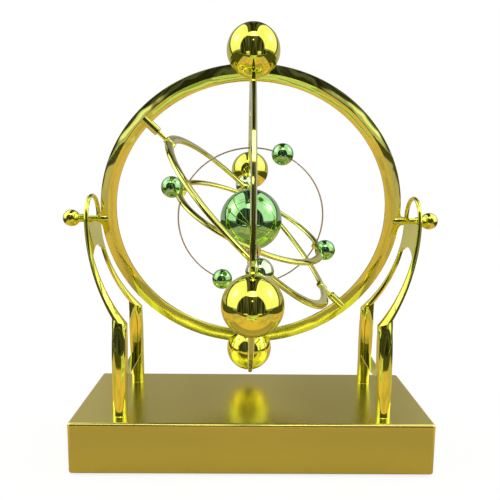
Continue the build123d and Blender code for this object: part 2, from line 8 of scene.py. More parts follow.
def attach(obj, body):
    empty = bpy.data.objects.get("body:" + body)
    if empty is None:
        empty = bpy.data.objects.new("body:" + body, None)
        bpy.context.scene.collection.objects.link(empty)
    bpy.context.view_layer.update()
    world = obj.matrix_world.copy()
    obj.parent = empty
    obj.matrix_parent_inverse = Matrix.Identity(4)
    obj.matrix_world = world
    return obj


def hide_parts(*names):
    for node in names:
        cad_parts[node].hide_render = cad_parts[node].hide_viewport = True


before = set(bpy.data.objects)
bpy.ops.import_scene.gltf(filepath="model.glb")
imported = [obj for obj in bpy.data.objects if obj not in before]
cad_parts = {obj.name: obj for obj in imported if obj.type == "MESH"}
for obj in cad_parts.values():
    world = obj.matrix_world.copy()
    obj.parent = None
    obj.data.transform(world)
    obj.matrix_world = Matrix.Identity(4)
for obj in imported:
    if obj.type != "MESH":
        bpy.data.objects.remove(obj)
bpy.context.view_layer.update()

# Every length is in millimetres, in the part's own frame: +X right, +Y to the back, +Z up.
MM = 0.001

# Gap that is left where one piece is fitted to another
FIT_GAP = 0.05

# Base
BASE_WIDTH = 180.0
BASE_DEPTH = 68.0
BASE_HEIGHT = 27.0
BASE_FLOOR = 1.0
BASE_WALL = 2.0
BASE_CORNER = 1.8
BASE_EDGE = 1.5
BASE_LOW_EDGE = 1.0
BASE_CEILING = BASE_HEIGHT - BASE_WALL
BASE_BOSS_INSET = (9.0, 19.0)
BASE_BOSS_X = BASE_WIDTH / 2 - BASE_BOSS_INSET[0]
BASE_BOSS_Y = BASE_DEPTH / 2 - BASE_BOSS_INSET[1]
BASE_BOSS_RADII = (1.45, 3.6)
BASE_BOSS_FOOT = 2.8
COIL_SOCKET_RADII = (11.1, 12.6)
COIL_SOCKET_DEPTH = 2.3
BOARD_POST_X = -45.0
BOARD_POST_Y = 17.0
BOARD_POST_RADII = (1.05, 3.0)
BOARD_POST_FOOT = 15.0

# How far the bosses, the posts and the socket run up into the top wall
TUBE_ROOT = 0.2

# Cage
SWING_ANGLE = 19.0
SWING_CLEARANCE = 1.5
SIDE_PLAY = 1.2
PLAY_GAP = 0.3
CAGE_RADIUS = 74.0
CAGE_WIDTH = 8.0
CAGE_RIDGE = 2.8
CAGE_RIM = 1.6
CAGE_CREASE = 0.16
CAGE_EDGE = CAGE_RADIUS + CAGE_WIDTH / 2
CAGE_MOUTH = CAGE_RADIUS - CAGE_WIDTH / 2
BALL_RADIUS = 12.2
BALL_SEAT = 9.5
BALL_OFFSET = CAGE_RADIUS + BALL_SEAT
BOTTOM_BALL_RADIUS = 13.0
BOTTOM_BALL_SEAT = 8.5
BOTTOM_BALL_OFFSET = CAGE_RADIUS + BOTTOM_BALL_SEAT
PIVOT_HEIGHT = BASE_HEIGHT + SWING_CLEARANCE + BOTTOM_BALL_RADIUS + BOTTOM_BALL_OFFSET
COLLAR_RADIUS = 4.4
COLLAR_ROOT = 1.5
COLLAR_NECK = 1.9
COLLAR_LENGTH = 2.6
COLLAR_TIP = CAGE_EDGE + COLLAR_LENGTH
BOSS_RADIUS = 2.1
BOSS_TAPER = 1.5
SOCKET_RADIUS = 2.2
SOCKET_CHAMFER = 0.35
SOCKET_LENGTH = 5.5
SOCKET_MOUTH = CAGE_MOUTH - SOCKET_LENGTH

# Stands
HEAD_THICKNESS = 2.2
STAND_OFFSET = COLLAR_TIP + 2 * SIDE_PLAY + HEAD_THICKNESS / 2
HEAD_OUTER = STAND_OFFSET + HEAD_THICKNESS / 2
HOOP_RADIUS = 12.4
HOOP_BAR = 2.0
HOOP_RISE = 0.5
WEB_THICKNESS = 1.5
WEB_SETBACK = 0.06
WEB_RISE = 0.3
WEB_DROP = 19.0
WEB_TOP = PIVOT_HEIGHT + WEB_RISE
WEB_LOW = PIVOT_HEIGHT - WEB_DROP
WEB_ARCH = 5.0
BAR_FLAT = 0.46
BAR_CREASE = 0.25
ELBOW_DROP = 50.0
ELBOW_HEIGHT = PIVOT_HEIGHT - ELBOW_DROP
ELBOW_SLOPE = 1.5
ELBOW_HALF_WIDTH = 22.8
LEG_INSET = 17.6
LEG_OFFSET = STAND_OFFSET - LEG_INSET
LEG_SIZE = 7.0
FOOT_HALF_WIDTH = 26.2
FLARE_REACH = 0.16
FLARE_START = 0.02
FLARE_HEIGHT = 0.5
STRAP_RISE = 16.8
STRAP_HEIGHT = BASE_HEIGHT + STRAP_RISE
STRAP_THICKNESS = 0.8
STRAP_WIDTH = 5.4
STRAP_SAG = 1.2

# Rows down a leg: drop below the elbow, share of the arm's section, squareness and tilt of the row
LEG_ROWS = (
    (0.0, 1.0, 9.0, 1.0),
    (2.0, 0.8, 9.0, 0.9),
    (5.0, 0.4, 9.0, 0.7),
    (9.0, 0.1, 9.0, 0.4),
    (14.0, 0.0, 8.5, 0.0),
    (24.0, 0.0, 7.0, 0.0),
    (34.0, 0.0, 4.5, 0.0),
    (42.0, 0.0, 3.0, 0.0),
)

# Rows of the foot: height over the base, how far it is flared and squareness
FOOT_ROWS = (
    (4.0, 0.0, 2.6),
    (FLARE_HEIGHT * 2, 0.0, 2.5),
    (FLARE_HEIGHT, FLARE_START, 2.5),
    (FLARE_HEIGHT / 2, FLARE_REACH / 2, 2.5),
    (0.0, FLARE_REACH, 2.5),
)

# Pivots
KNOB_RADIUS = 4.4
KNOB_REACH = 8.6
KNOB_OFFSET = HEAD_OUTER + KNOB_REACH
KNOB_NECK_RADIUS = 2.1
KNOB_NECK_START = HEAD_OUTER + SIDE_PLAY + PLAY_GAP
KNOB_CHAMFER = 0.2
PIN_RADIUS = 1.5
PIN_GRIP = 2.9
PIN_END_GAP = 0.1
PIN_START = CAGE_EDGE - PIN_GRIP
PIN_END = KNOB_OFFSET - PIN_END_GAP

# Middle ring
MIDDLE_AXIS_ANGLE = 135.0
MIDDLE_REST_ANGLE = 4.0
END_BALL_RADIUS = 6.0
END_BALL_CLEARANCE = 1.5
END_BALL_SEAT = 5.5
END_BALL_OFFSET = CAGE_MOUTH - END_BALL_CLEARANCE - END_BALL_RADIUS
MIDDLE_RADIUS = END_BALL_OFFSET - END_BALL_SEAT
MIDDLE_WIDTH = 5.0
MIDDLE_RIDGE = 2.8
MIDDLE_RIM = 1.4
MIDDLE_CREASE = 0.4
MIDDLE_PIN_RADIUS = 1.0
MIDDLE_PIN_REACH = 4.7
MIDDLE_PIN_END = SOCKET_MOUTH + MIDDLE_PIN_REACH
HUB_RADIUS = 2.4
HUB_HALF_LENGTH = 2.8
HUB_CHAMFER = 0.3
HUB_FLAT = 3.6

# Rotor
ROTOR_REST_ANGLE = 21.0
ROTOR_CLEARANCE = 4.8
CENTRE_BALL_RADIUS = 16.1
AXLE_RADIUS = 1.0
AXLE_END_DEPTH = 1.5
AXLE_REACH = END_BALL_OFFSET - AXLE_END_DEPTH
PLANET_RADIUS = 5.5
PLANET_SEAT = 3.7
PLANET_OFFSET = MIDDLE_RADIUS - MIDDLE_WIDTH / 2 - ROTOR_CLEARANCE - PLANET_RADIUS
ORBIT_RADIUS = PLANET_OFFSET - PLANET_SEAT
ORBIT_WIDTH = 4.0
ORBIT_RIDGE = 2.4
ORBIT_RIM = 1.2
ORBIT_CREASE = 0.3
ORBIT_HUB_RADIUS = 2.2
ORBIT_HUB_HALF_LENGTH = 2.4
WIRE_RADIUS = 0.4
WIRE_SEAT = 0.6
WIRE_ORBIT_RADIUS = ORBIT_RADIUS - ORBIT_WIDTH / 2 - WIRE_SEAT

# How finely round shapes are divided
RING_STEPS = 288
BALL_STEPS = 96
SMALL_BALL_STEPS = 64
PIVOT_STEPS = 48
KNOB_STEPS = 56
KNOB_ARC_STEPS = 40
HUB_STEPS = 40
THIN_PIN_STEPS = 32
WIRE_SIDES = 12
COLLAR_STEPS = 10
ARM_STEPS = 26
HOOP_STEPS = 32
WEB_PATH_STEPS = 60
FACET_STEPS = 4
CORNER_STEPS = 4

# How far each facet of a ring bulges in its middle
FACET_BOW = 0.09

# Edges that bend more than these are kept sharp or get a narrow bevel
SHARP_ANGLE = math.radians(32)
CREASE_ANGLE = math.radians(6)

# Points nearer than WELD are made one, and lengths that differ by less than ALIKE count as equal
WELD = 0.0005
ALIKE = 0.0001


def turn(degrees, axis):
    return Matrix.Rotation(math.radians(degrees), 4, axis)


def shift(x, y, z):
    return Matrix.Translation((x, y, z))


# The cage hangs at the left end of its side play, and each body hangs as it does in the photograph
ABOUT_Y = turn(90, "X")
CAGE = shift(-SIDE_PLAY, 0, PIVOT_HEIGHT) @ turn(SWING_ANGLE, "X")
MIDDLE = CAGE @ turn(-MIDDLE_AXIS_ANGLE, "Y") @ turn(MIDDLE_REST_ANGLE, "X")
ROTOR = MIDDLE @ turn(-ROTOR_REST_ANGLE, "Y")
BODY_FRAMES = {"base": Matrix.Identity(4), "cage": CAGE, "middle": MIDDLE, "rotor": ROTOR}


# Materials

class Wire:
    """One output of a node tree. Arithmetic on it adds Math nodes."""

    def __init__(self, nodes, socket):
        self.nodes = nodes
        self.socket = socket

    def math(self, operation, first, second=0.0, clamp=False):
        return self.nodes.add("Math", {"operation": operation, "use_clamp": clamp}, {0: first, 1: second})

    def __add__(self, other):
        return self.math("ADD", self, other)

    def __radd__(self, other):
        return self.math("ADD", other, self)

    def __sub__(self, other):
        return self.math("SUBTRACT", self, other)

    def __rsub__(self, other):
        return self.math("SUBTRACT", other, self)

    def __mul__(self, other):
        return self.math("MULTIPLY", self, other)

    def __rmul__(self, other):
        return self.math("MULTIPLY", other, self)

    def size(self):
        return self.math("ABSOLUTE", self)

    def squared(self):
        return self.math("MULTIPLY", self, self)

    def clamped(self):
        return self.math("ADD", self, 0.0, clamp=True)


class Nodes:
    """A node tree that is built one call at a time. A span is a pair of values, the lower one first."""

    def __init__(self, tree):
        self.tree = tree
        tree.nodes.clear()

    def add(self, kind, settings=None, inputs=None, output=0):
        node = self.tree.nodes.new("ShaderNode" + kind)
        for key, value in (settings or {}).items():
            setattr(node, key, value)
        for key, value in (inputs or {}).items():
            socket = self.find(node.inputs, key)
            if isinstance(value, Wire):
                self.tree.links.new(value.socket, socket)
            else:
                socket.default_value = value
        if len(node.outputs) == 0:
            return None
        return Wire(self, self.find(node.outputs, output))

    @staticmethod
    def find(sockets, key):
        if isinstance(key, int):
            return sockets[key]
        for socket in sockets:
            if socket.identifier == key:
                return socket
        return sockets[key]

    def place(self):
        return self.add("TexCoord", output="Object")

    def axis(self, vector, letter):
        return self.add("SeparateXYZ", {}, {0: vector}, letter)

    def noise(self, place, scale, detail=2.0, roughness=0.5):
        inputs = {"Vector": place, "Scale": scale, "Detail": detail, "Roughness": roughness}
        return self.add("TexNoise", {}, inputs)

    def mix(self, share, first, second):
        settings = {"data_type": "RGBA"}
        inputs = {"Factor_Float": share, "A_Color": first, "B_Color": second}
        return self.add("Mix", settings, inputs, "Result_Color")

    def above(self, value, span):
        """0 below the span, 1 above it and smooth between."""
        settings = {"interpolation_type": "SMOOTHSTEP"}
        inputs = {"Value": value, "From Min": span[0], "From Max": span[1], "To Min": 0.0, "To Max": 1.0}
        return self.add("MapRange", settings, inputs)

    def below(self, value, span):
        """1 below the span, 0 above it and smooth between."""
        return 1 - self.above(value, span)

    def between(self, value, lower, upper):
        """1 between two spans, and 0 outside them."""
        return self.above(value, lower) * self.below(value, upper)

    def bump(self, height, strength, distance):
        return self.add("Bump", {}, {"Strength": strength, "Distance": distance, "Height": height})


def colour(red, green, blue):
    return (red, green, blue, 1.0)


def new_material(name):
    material = bpy.data.materials.new(name)
    material.use_nodes = True
    return material, Nodes(material.node_tree)


def set_surface(nodes, shader):
    nodes.add("OutputMaterial", {}, {"Surface": shader})


def plated(name, tint, shade, roughness=0.03, sway=0.04):
    """Bright plating over moulded plastic: a mirror with a slow drift of tone and faint waves."""
    material, nodes = new_material(name)
    place = nodes.place()
    drift = nodes.noise(place, scale=35.0, detail=2.0)
    haze = nodes.noise(place, scale=700.0, detail=3.0)
    waves = nodes.noise(place, scale=42.0, detail=1.5)
    inputs = {
        "Base Color": nodes.mix(drift, colour(*tint), colour(*shade)),
        "Metallic": 1.0,
        "Roughness": roughness + haze * 0.03,
        "Normal": nodes.bump(waves, strength=sway, distance=0.002),
    }
    set_surface(nodes, nodes.add("BsdfPrincipled", {}, inputs))
    return material


def satin(name, tint, shade, roughness):
    """Satin metal lacquer: blurred reflections and a very fine sparkle."""
    material, nodes = new_material(name)
    place = nodes.place()
    drift = nodes.noise(place, scale=14.0, detail=3.0)
    grain = nodes.noise(place, scale=5200.0, detail=2.0)
    inputs = {
        "Base Color": nodes.mix(drift, colour(*tint), colour(*shade)),
        "Metallic": 1.0,
        "Roughness": roughness + grain * 0.06,
        "Normal": nodes.bump(grain, strength=0.05, distance=0.00006),
    }
    set_surface(nodes, nodes.add("BsdfPrincipled", {}, inputs))
    return material


def moulded(name, tint, shade, roughness, scale=1800.0, strength=0.25):
    """Plastic, rubber or film with a fine grain."""
    material, nodes = new_material(name)
    place = nodes.place()
    grain = nodes.noise(place, scale, detail=3.0)
    drift = nodes.noise(place, scale=40.0, detail=2.0)
    inputs = {
        "Base Color": nodes.mix(drift, colour(*tint), colour(*shade)),
        "Roughness": roughness + grain * 0.15,
        "Normal": nodes.bump(grain, strength, distance=0.0001),
    }
    set_surface(nodes, nodes.add("BsdfPrincipled", {}, inputs))
    return material


def wound_copper(name):
    """Enamelled wire in fine turns round the coil."""
    material, nodes = new_material(name)
    place = nodes.place()
    turns = nodes.add("TexWave", {"wave_type": "BANDS", "bands_direction": "Z"},
                      {"Vector": place, "Scale": 900.0, "Distortion": 0.4})
    drift = nodes.noise(place, scale=60.0, detail=2.0)
    inputs = {
        "Base Color": nodes.mix(drift, colour(0.62, 0.24, 0.09), colour(0.80, 0.40, 0.17)),
        "Metallic": 1.0,
        "Roughness": 0.22 + turns * 0.15,
        "Normal": nodes.bump(turns, strength=0.5, distance=0.0002),
    }
    set_surface(nodes, nodes.add("BsdfPrincipled", {}, inputs))
    return material


def circuit_lacquer(name):
    """Green lacquer with a faint pattern of tracks under it."""
    material, nodes = new_material(name)
    place = nodes.place()
    tracks = nodes.add("TexBrick", {}, {"Vector": place, "Scale": 260.0, "Mortar Size": 0.04}, "Fac")
    inputs = {
        "Base Color": nodes.mix(tracks, colour(0.012, 0.11, 0.035), colour(0.03, 0.20, 0.06)),
        "Roughness": 0.35 + nodes.noise(place, scale=500.0) * 0.1,
        "Normal": nodes.bump(tracks, strength=0.3, distance=0.00005),
    }
    set_surface(nodes, nodes.add("BsdfPrincipled", {}, inputs))
    return material


GOLD = plated("plated_gold", (0.86, 0.85, 0.13), (0.82, 0.79, 0.11))
RING_GOLD = plated("plated_gold_bars", (0.80, 0.80, 0.19), (0.66, 0.68, 0.15), roughness=0.04, sway=0.45)
GREEN = plated("plated_green", (0.38, 0.70, 0.31), (0.33, 0.64, 0.25))
PALE = plated("plated_pale_green", (0.78, 0.93, 0.62), (0.72, 0.88, 0.52))
BASE_GOLD = satin("satin_gold", (0.82, 0.74, 0.19), (0.77, 0.69, 0.17), roughness=0.21)
STEEL = satin("bright_steel", (0.62, 0.62, 0.64), (0.55, 0.55, 0.57), roughness=0.16)
DARK_WIRE = plated("dark_wire", (0.63, 0.52, 0.45), (0.53, 0.43, 0.37), roughness=0.2)
COPPER = wound_copper("copper_winding")
BLACK = moulded("black_plastic", (0.018, 0.018, 0.02), (0.026, 0.026, 0.028), roughness=0.45)
BOARD = circuit_lacquer("circuit_lacquer")
CHIPS = moulded("board_parts", (0.03, 0.03, 0.05), (0.05, 0.05, 0.08), roughness=0.35)
RUBBER = moulded("rubber", (0.02, 0.02, 0.02), (0.03, 0.03, 0.03), roughness=0.7, scale=1200.0, strength=0.4)
JACKET = moulded("cell_jacket", (0.05, 0.08, 0.11), (0.07, 0.10, 0.14), roughness=0.22, scale=300.0,
                 strength=0.05)

# Finishes of the CAD pieces that are shown as they are
CAD_FINISHES = {
    "base_cover": BLACK,
    "battery_door": BLACK,
    "rubber_feet": RUBBER,
    "cover_screws": STEEL,
    "leg_screws": STEEL,
    "coil_bobbin": BLACK,
    "coil_winding": COPPER,
    "coil_core": STEEL,
    "circuit_board": BOARD,
    "board_parts": CHIPS,
    "board_screws": STEEL,
    "battery_tray": BLACK,
    "battery_cells": JACKET,
    "battery_contacts": STEEL,
    "swing_magnet": STEEL,
    "orbit_clips": GOLD,
}
for cad_node, finish in CAD_FINISHES.items():
    for material_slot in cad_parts[cad_node].material_slots:
        material_slot.material = finish


# Pieces

def weigh_normals(piece):
    """Lets wide facets stay flat and gives the whole bend to the narrow bevels between them."""
    modifier = piece.modifiers.new("facets", "WEIGHTED_NORMAL")
    modifier.mode = "FACE_AREA"
    modifier.weight = 100
    modifier.keep_sharp = True


def make_piece(name, bm, material, body, node, place=Matrix.Identity(4), faceted=False):
    """Turns a bmesh in millimetres into a piece that rides on a body and stands for a CAD node.
    The place is in the body's own frame."""
    bmesh.ops.remove_doubles(bm, verts=bm.verts, dist=WELD)
    bmesh.ops.recalc_face_normals(bm, faces=bm.faces)
    if faceted:
        for edge in bm.edges:
            edge.smooth = edge.calc_face_angle(0) < SHARP_ANGLE
    bmesh.ops.transform(bm, matrix=Matrix.Scale(MM, 4) @ BODY_FRAMES[body] @ place, verts=bm.verts)
    for face in bm.faces:
        face.smooth = True
    mesh = bpy.data.meshes.new(name)
    bm.to_mesh(mesh)
    bm.free()
    mesh.materials.append(material)
    piece = bpy.data.objects.new(name, mesh)
    bpy.context.scene.collection.objects.link(piece)
    if faceted:
        weigh_normals(piece)
    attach(piece, body)
    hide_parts(node)


def outline(bm, points, closed=True):
    """Vertices and edges through points, ready to be spun or extruded."""
    verts = [bm.verts.new(point) for point in points]
    pairs = list(zip(verts, verts[1:]))
    if closed:
        pairs.append((verts[-1], verts[0]))
    return verts, [bm.edges.new(pair) for pair in pairs]


def connected(vert):
    """Every vertex that hangs together with this one."""
    seen = {vert}
    found = [vert]
    for current in found:
        for edge in current.link_edges:
            for other in edge.verts:
                if other not in seen:
                    seen.add(other)
                    found.append(other)
    return found


def spin(bm, verts, edges, steps, degrees=360.0):
    """Spins an outline about Z. A whole turn is closed."""
    return bmesh.ops.spin(bm, geom=verts + edges, cent=(0, 0, 0), axis=(0, 0, 1),
                          angle=math.radians(degrees), steps=steps, use_merge=(degrees == 360.0))


def turned(bm, points, steps, place=Matrix.Identity(4), closed=False):
    """Turns (radius, height) points about Z. Points on the axis close the ends of an open row."""
    verts, edges = outline(bm, [(radius, 0, height) for radius, height in points], closed)
    spin(bm, verts, edges, steps)
    island = connected(verts[0])
    bmesh.ops.transform(bm, matrix=place, verts=island)
    bmesh.ops.remove_doubles(bm, verts=island, dist=WELD)


def rod(radius, start, end):
    """The (radius, height) points of a plain round bar."""
    return [(0, start), (radius, start), (radius, end), (0, end)]


def tube(radii, start, end):
    """The (radius, height) points of a round bar with a bore."""
    inner, outer = radii
    return [(inner, start), (outer, start), (outer, end), (inner, end)]


def arc(radius, start, end, count):
    """Points (x, y) on an arc about the origin between two angles in degrees."""
    angles = [math.radians(start + (end - start) * index / count) for index in range(count + 1)]
    return [(radius * math.cos(angle), radius * math.sin(angle)) for angle in angles]


def round_edges(bm, edges, offset, segments=2):
    bmesh.ops.bevel(bm, geom=edges, offset=offset, offset_type="OFFSET", affect="EDGES",
                    segments=segments, profile=0.5, material=-1)


def lens_profile(radius, width, ridge, rim):
    """The section of a ring: on each side two slightly bowed facets that meet in a ridge."""
    half = width / 2
    facet = []
    for index in range(FACET_STEPS + 1):
        share = index / FACET_STEPS
        bow = 4 * FACET_BOW * share * (1 - share)
        facet.append((half * share, rim / 2 + (ridge - rim) / 2 * share + bow))
    inner = [(radius - half + x, 0, z) for x, z in facet]
    outer = [(radius + half - x, 0, z) for x, z in facet[-2::-1]]
    upper = inner + outer
    return upper + [(x, 0, -z) for x, _, z in reversed(upper)]


def runs_round(edge):
    """True for an edge that follows the ring, not its section."""
    a, b = [vert.co for vert in edge.verts]
    same_radius = abs(math.hypot(a.x, a.y) - math.hypot(b.x, b.y)) < ALIKE
    return same_radius and abs(a.z - b.z) < ALIKE


def lens_ring(bm, radius, width, ridge, rim, crease, start=0.0, sweep=360.0):
    """A ring about Z with two shallow facets on each side. A part sweep gets closed ends."""
    verts, edges = outline(bm, lens_profile(radius, width, ridge, rim))
    bmesh.ops.rotate(bm, verts=verts, cent=(0, 0, 0), matrix=turn(start, "Z").to_3x3())
    spun = spin(bm, verts, edges, round(RING_STEPS * sweep / 360), sweep)
    if sweep < 360:
        last = [item for item in spun["geom_last"] if isinstance(item, bmesh.types.BMEdge)]
        bmesh.ops.contextual_create(bm, geom=edges)
        bmesh.ops.contextual_create(bm, geom=last)
    bmesh.ops.recalc_face_normals(bm, faces=bm.faces)
    along = [edge for edge in bm.edges if runs_round(edge) and edge.calc_face_angle(0) > CREASE_ANGLE]
    round_edges(bm, along, crease)


def ball_piece(name, radius, centre, steps, material, body, node):
    bm = bmesh.new()
    bmesh.ops.create_uvsphere(bm, u_segments=steps, v_segments=steps // 2, radius=radius,
                              matrix=shift(*centre))
    make_piece(name, bm, material, body, node)


# Cage

def collar_flare(bm, side):
    """The thin web that widens from the boss to the ring, in the plane of the ring."""
    points = [(CAGE_EDGE - COLLAR_ROOT, COLLAR_RADIUS)]
    for index in range(COLLAR_STEPS + 1):
        angle = math.radians(90 * index / COLLAR_STEPS)
        points.append((CAGE_EDGE + (COLLAR_TIP - CAGE_EDGE) * (1 - math.cos(angle)),
                       COLLAR_RADIUS - (COLLAR_RADIUS - COLLAR_NECK) * math.sin(angle)))
    around = points + [(x, -z) for x, z in reversed(points)]
    _, edges = outline(bm, [(side * x, CAGE_RIM / 2, z) for x, z in around])
    face = bmesh.ops.contextual_create(bm, geom=edges)["faces"]
    grown = bmesh.ops.extrude_face_region(bm, geom=face)["geom"]
    back = [item for item in grown if isinstance(item, bmesh.types.BMVert)]
    bmesh.ops.translate(bm, vec=(0, -CAGE_RIM, 0), verts=back)


def outer_ring():
    """The ring in the plane of the pivots, with a collar on each side and the middle ring's two sockets."""
    bm = bmesh.new()
    lens_ring(bm, CAGE_RADIUS, CAGE_WIDTH, CAGE_RIDGE, CAGE_RIM, CAGE_CREASE)
    bmesh.ops.transform(bm, matrix=ABOUT_Y, verts=bm.verts)
    boss = [(0, CAGE_RADIUS), (BOSS_RADIUS - BOSS_TAPER / 2, CAGE_RADIUS),
            (BOSS_RADIUS, CAGE_RADIUS + BOSS_TAPER), (BOSS_RADIUS, CAGE_EDGE),
            (COLLAR_NECK, COLLAR_TIP), (0, COLLAR_TIP)]
    for side in (1, -1):
        collar_flare(bm, side)
        turned(bm, boss, PIVOT_STEPS, turn(90 * side, "Y"))
    socket = [(0, SOCKET_MOUTH), (SOCKET_RADIUS - SOCKET_CHAMFER, SOCKET_MOUTH),
              (SOCKET_RADIUS, SOCKET_MOUTH + SOCKET_CHAMFER), (SOCKET_RADIUS, CAGE_RADIUS), (0, CAGE_RADIUS)]
    for side in (1, -1):
        turned(bm, socket, HUB_STEPS, turn(90 * side - MIDDLE_AXIS_ANGLE, "Y"))
    make_piece("outer_ring_gold", bm, RING_GOLD, "cage", "outer_ring", faceted=True)


def cross_rings():
    """The two half rings square to the outer ring, which they butt on."""
    gap = math.degrees((CAGE_RIDGE / 2 + FIT_GAP) / CAGE_RADIUS)
    for node, start in (("cross_ring_front", 180 + gap), ("cross_ring_back", gap)):
        bm = bmesh.new()
        lens_ring(bm, CAGE_RADIUS, CAGE_WIDTH, CAGE_RIDGE, CAGE_RIM, CAGE_CREASE, start, 180 - 2 * gap)
        # The ring's own X runs up the cage and its own Y to the back
        make_piece(node + "_gold", bm, RING_GOLD, "cage", node, turn(-90, "Y"), faceted=True)


def cage_balls():
    for node, centre, radius in (
            ("top_ball", (0, 0, BALL_OFFSET), BALL_RADIUS),
            ("front_ball", (0, -BALL_OFFSET, 0), BALL_RADIUS),
            ("back_ball", (0, BALL_OFFSET, 0), BALL_RADIUS),
            ("bottom_ball", (0, 0, -BOTTOM_BALL_OFFSET), BOTTOM_BALL_RADIUS)):
        ball_piece(node + "_gold", radius, centre, BALL_STEPS, GOLD, "cage", node)


def pivots():
    """The pins that carry the cage, and the knobs on their ends."""
    meet = math.sqrt(KNOB_RADIUS ** 2 - KNOB_NECK_RADIUS ** 2)
    begin = math.degrees(math.atan2(meet, KNOB_NECK_RADIUS))
    neck = [(PIN_RADIUS + FIT_GAP, KNOB_NECK_START), (KNOB_NECK_RADIUS - KNOB_CHAMFER, KNOB_NECK_START),
            (KNOB_NECK_RADIUS, KNOB_NECK_START + KNOB_CHAMFER)]
    round_part = [(r, KNOB_OFFSET + h) for r, h in arc(KNOB_RADIUS, -begin, 90, KNOB_ARC_STEPS)]
    knob = neck + round_part[:-1] + [(0, KNOB_OFFSET + KNOB_RADIUS)]
    for side, word in ((1, "right"), (-1, "left")):
        bm = bmesh.new()
        turned(bm, rod(PIN_RADIUS, PIN_START, PIN_END), PIVOT_STEPS, turn(90 * side, "Y"))
        make_piece(word + "_pin_gold", bm, GOLD, "cage", word + "_pivot_pin", faceted=True)
        bm = bmesh.new()
        turned(bm, knob, KNOB_STEPS, turn(90 * side, "Y"))
        make_piece(word + "_knob_gold", bm, GOLD, "cage", word + "_knob")


outer_ring()
cross_rings()
cage_balls()
pivots()


# Middle ring

def middle_ring():
    """The ring with two flattened hubs for its own pins and two round ones for the rotor's axle."""
    bm = bmesh.new()
    lens_ring(bm, MIDDLE_RADIUS, MIDDLE_WIDTH, MIDDLE_RIDGE, MIDDLE_RIM, MIDDLE_CREASE)
    start, end = MIDDLE_RADIUS - HUB_HALF_LENGTH, MIDDLE_RADIUS + HUB_HALF_LENGTH
    hub = [(0, start), (HUB_RADIUS - HUB_CHAMFER, start), (HUB_RADIUS, start + HUB_CHAMFER),
           (HUB_RADIUS, end - HUB_CHAMFER), (HUB_RADIUS - HUB_CHAMFER, end), (0, end)]
    flattened = Matrix.Diagonal((1, 1, HUB_FLAT / 2 / HUB_RADIUS, 1))
    for side in (1, -1):
        turned(bm, hub, HUB_STEPS, flattened @ turn(90 * side, "Y"))
        turned(bm, hub, HUB_STEPS, turn(90 * side, "X"))
    make_piece("middle_ring_gold", bm, RING_GOLD, "middle", "middle_ring", faceted=True)


def middle_pins():
    pin = rod(MIDDLE_PIN_RADIUS, MIDDLE_RADIUS, MIDDLE_PIN_END)
    for side, node in ((1, "upper_middle_pin"), (-1, "lower_middle_pin")):
        bm = bmesh.new()
        turned(bm, pin, THIN_PIN_STEPS, turn(90 * side, "Y"))
        make_piece(node + "_gold", bm, GOLD, "middle", node, faceted=True)


def end_balls():
    for side, node in ((1, "front_end_ball"), (-1, "back_end_ball")):
        ball_piece(node + "_pale", END_BALL_RADIUS, (0, -side * END_BALL_OFFSET, 0), SMALL_BALL_STEPS,
                   PALE, "middle", node)


middle_ring()
middle_pins()
end_balls()


# Rotor

def centre_ball():
    ball_piece("centre_ball_green", CENTRE_BALL_RADIUS, (0, 0, 0), BALL_STEPS,
               GREEN, "rotor", "centre_ball")


def orbit_ring():
    bm = bmesh.new()
    lens_ring(bm, ORBIT_RADIUS, ORBIT_WIDTH, ORBIT_RIDGE, ORBIT_RIM, ORBIT_CREASE)
    hub = rod(ORBIT_HUB_RADIUS, ORBIT_RADIUS - ORBIT_HUB_HALF_LENGTH, ORBIT_RADIUS + ORBIT_HUB_HALF_LENGTH)
    for side in (1, -1):
        turned(bm, hub, HUB_STEPS, turn(90 * side, "X"))
    make_piece("orbit_ring_gold", bm, RING_GOLD, "rotor", "orbit_ring", faceted=True)


def orbit_wire():
    bm = bmesh.new()
    section = arc(WIRE_RADIUS, 0, 360 - 360 / WIRE_SIDES, WIRE_SIDES - 1)
    turned(bm, [(WIRE_ORBIT_RADIUS + x, z) for x, z in section], RING_STEPS, closed=True)
    make_piece("orbit_wire_dark", bm, DARK_WIRE, "rotor", "orbit_wire", ABOUT_Y)


def planets():
    """Two small balls on the orbit ring and two on the wire."""
    for node, x, z in (
            ("planet_ball_left", PLANET_OFFSET, 0),
            ("planet_ball_right", -PLANET_OFFSET, 0),
            ("planet_ball_upper", 0, -WIRE_ORBIT_RADIUS),
            ("planet_ball_lower", 0, WIRE_ORBIT_RADIUS)):
        ball_piece(node + "_green", PLANET_RADIUS, (x, 0, z), SMALL_BALL_STEPS,
                   GREEN, "rotor", node)


def rotor_axle():
    bm = bmesh.new()
    turned(bm, rod(AXLE_RADIUS, -AXLE_REACH, AXLE_REACH), THIN_PIN_STEPS, ABOUT_Y)
    make_piece("rotor_axle_steel", bm, STEEL, "rotor", "rotor_axle", faceted=True)


centre_ball()
orbit_ring()
orbit_wire()
planets()
rotor_axle()


# Stands

def tangent_arc(top, bottom, count):
    """Points from top to bottom on the arc that leaves top straight downwards."""
    dx = bottom[0] - top[0]
    dz = bottom[1] - top[1]
    radius = (dx * dx + dz * dz) / (2 * dx)
    sweep = math.atan2(-dz, abs(radius) - abs(dx))
    points = []
    for index in range(count + 1):
        angle = sweep * index / count
        points.append((top[0] + radius * (1 - math.cos(angle)), top[1] - abs(radius) * math.sin(angle)))
    return points


def across_path(path, z):
    """The first coordinate of a falling path at a height."""
    for (a, high), (b, low) in zip(path, path[1:]):
        if low <= z <= high:
            return a + (b - a) * (high - z) / (high - low)
    return path[0][0] if z > path[0][1] else path[-1][0]


